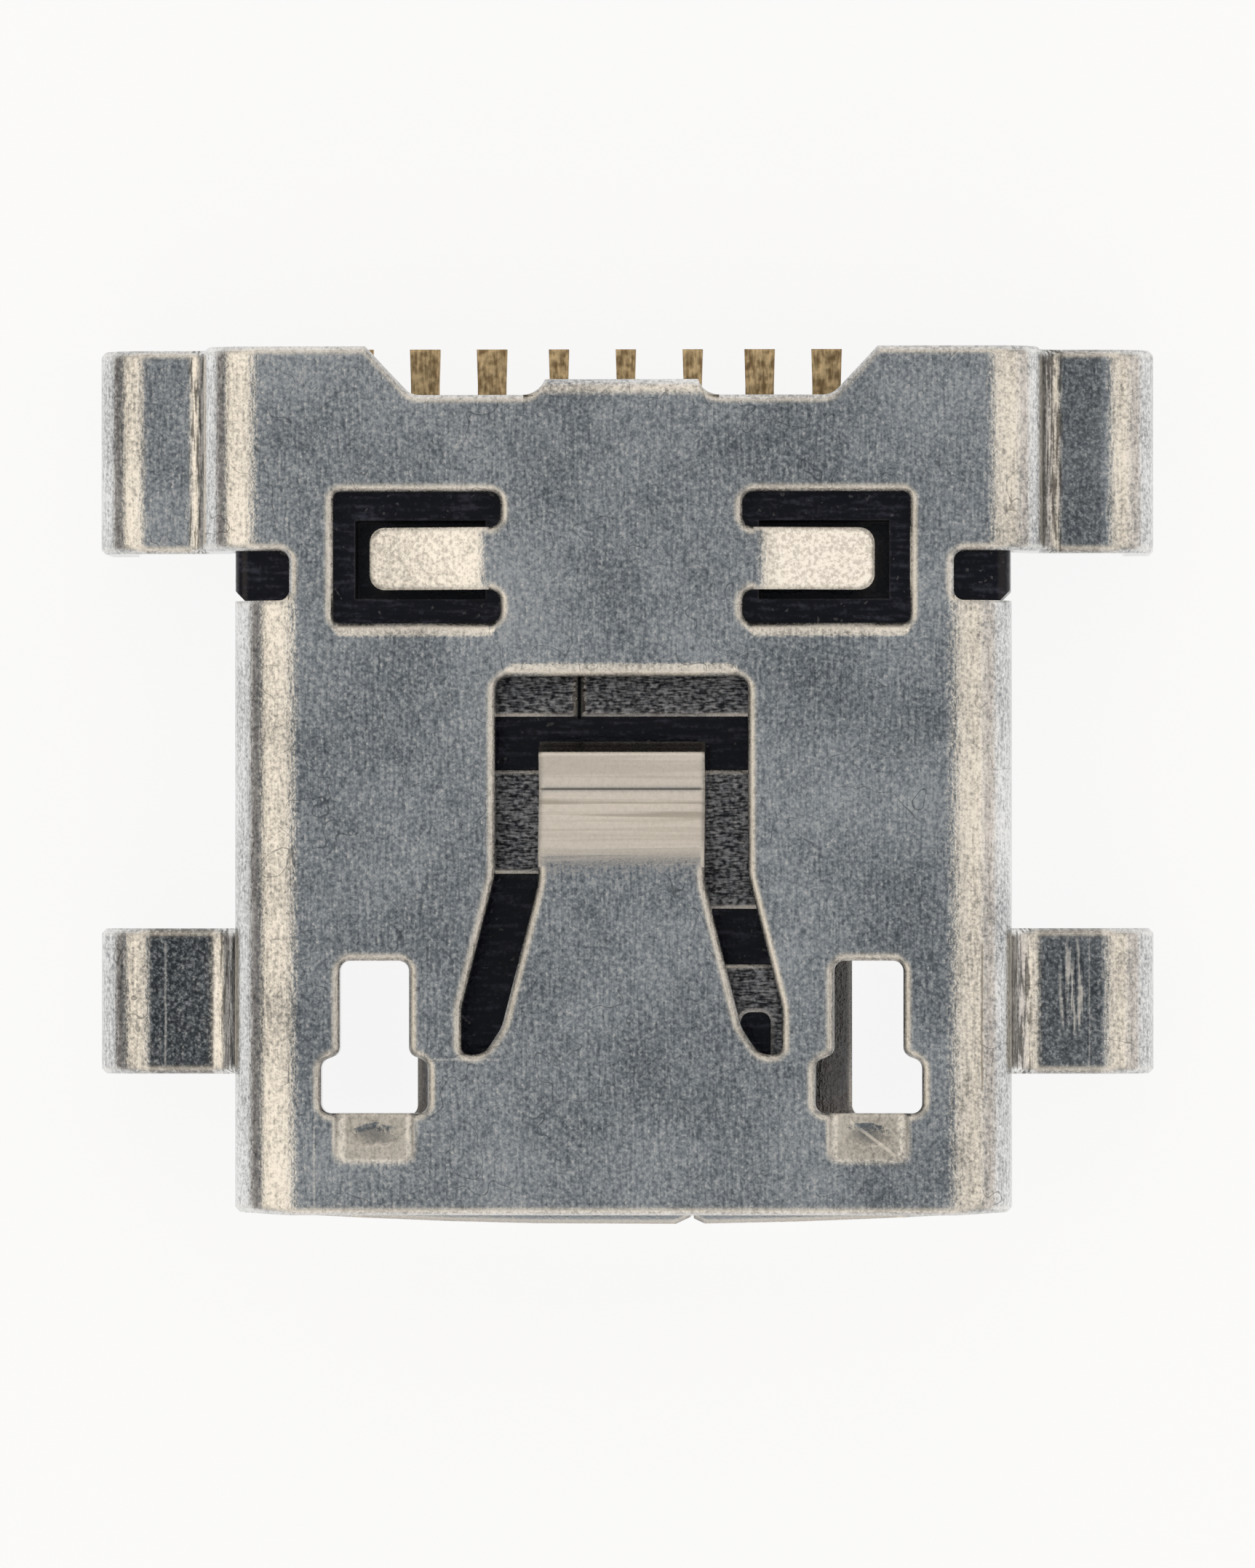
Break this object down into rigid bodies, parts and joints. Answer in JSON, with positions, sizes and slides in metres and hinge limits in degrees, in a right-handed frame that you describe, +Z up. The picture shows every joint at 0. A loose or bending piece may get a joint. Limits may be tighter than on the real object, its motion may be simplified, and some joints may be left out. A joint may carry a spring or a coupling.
{
  "type": "micro usb socket",
  "caption": "Board-mounted micro USB socket: a folded metal shell with sprung arm, latch windows and soldered legs, around a black tongue housing with a row of solder tails.",
  "frame": {"origin": "middle of the footprint, at the level of the leg tips", "axes": "+X across the mouth, +Y from the mouth to the solder tails, +Z up, away from the board"},
  "size_m": [0.0102, 0.0086, 0.0027],
  "materials": {
    "nickel_steel": "nickel plated, finely brushed",
    "black_moulding": "glossy black",
    "plain_steel": "brushed",
    "gold_plating": "dull gold plating"
  },
  "bodies": {
    "root": {"shell": "nickel_steel", "housing": "black_moulding", "tongue_plate": "plain_steel", "terminal_1": "gold_plating", "terminal_2": "gold_plating", "terminal_3": "gold_plating", "terminal_4": "gold_plating", "terminal_5": "gold_plating", "terminal_6": "gold_plating", "terminal_7": "gold_plating", "terminal_8": "gold_plating", "terminal_9": "gold_plating"}
  },
  "joints": []
}
